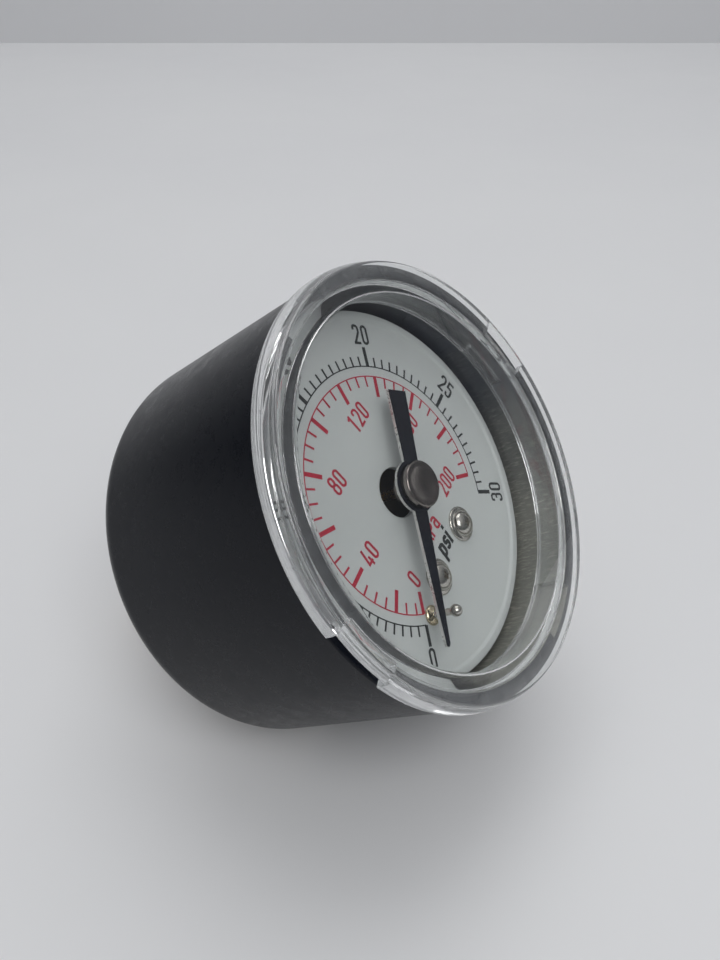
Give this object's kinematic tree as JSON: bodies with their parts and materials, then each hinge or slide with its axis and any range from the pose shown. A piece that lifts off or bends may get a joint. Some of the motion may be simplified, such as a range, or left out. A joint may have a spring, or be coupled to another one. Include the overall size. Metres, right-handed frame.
{
  "type": "pressure gauge",
  "caption": "Small round dial pressure gauge with a clear twist-lock window, black cup case, Bourdon tube movement and a threaded connection at the centre of its back.",
  "frame": {"origin": "on the stem's axis, at the shoulder where the hexagon meets the thread", "axes": "+Y out along the threaded stem, the dial faces -Y, +Z is the dial's 12 o'clock, +X is the dial's 3 o'clock"},
  "size_m": [0.0421, 0.0472, 0.0426],
  "materials": {
    "case_black": "satin black enamel with a fine grain",
    "window_clear": "clear moulded polycarbonate",
    "dial_white": "matt white",
    "pointer_black": "matt black, bare cut edges",
    "nickel": "bright nickel plate",
    "brass": "turned",
    "brass_plate": "stamped, lightly brushed",
    "bronze": "drawn phosphor bronze",
    "steel": "bright zinc"
  },
  "bodies": {
    "gauge": {"case": "case_black", "dial": "dial_white", "dial_screws": "nickel", "stop_pin": "nickel", "socket": "brass", "case_screws": "steel", "bourdon_tube": "bronze", "front_plate": "brass_plate", "rear_plate": "brass_plate", "plate_pillars": "brass", "plate_screws": "steel", "movement_screws": "steel", "hairspring": "bronze", "hairspring_stud": "brass"},
    "window": {"window": "window_clear"},
    "pointer": {"pointer": "pointer_black", "pointer_hub": "nickel", "pinion_arbor": "brass", "hairspring_collet": "brass"},
    "sector": {"sector_gear": "brass_plate", "sector_arbor": "steel", "link_tail_pin": "steel"},
    "link": {"link": "steel"},
    "tube_end": {"tube_tip": "brass", "link_tip_pin": "steel"}
  },
  "joints": [
    {"name": "sector_swing", "type": "hinge", "parent": "gauge", "child": "sector", "pos_m": [0.00851, -0.0235, -0.00665], "axis": [0, -1, 0], "range_deg": [0, 30], "stiffness_Nm_per_rad": 0.002},
    {"name": "pointer_spin", "type": "hinge", "parent": "gauge", "child": "pointer", "pos_m": [0, -0.031, 0], "axis": [0, 1, 0], "range_deg": [0, 270], "deforming": ["hairspring"]},
    {"name": "tube_tip_swing", "type": "hinge", "parent": "gauge", "child": "tube_end", "pos_m": [-0.00205, -0.021, 0.00277], "axis": [0, -1, 0], "range_deg": [0, 5.4], "deforming": ["bourdon_tube"]},
    {"name": "link_swing", "type": "hinge", "parent": "sector", "child": "link", "pos_m": [0.01074, -0.0248, -0.00866], "axis": [0, -1, 0], "range_deg": [-28.3, 0]},
    {"name": "window_twist", "type": "hinge", "parent": "gauge", "child": "window", "pos_m": [0, -0.0343, 0], "axis": [0, -1, 0], "range_deg": [0, 90]}
  ],
  "couplings": [
    {"joint": "pointer_spin", "follows": "sector_swing", "ratio": 9},
    {"joint": "tube_tip_swing", "follows": "sector_swing", "ratio": 0.17973},
    {"joint": "link_swing", "follows": "sector_swing", "ratio": -0.94}
  ]
}
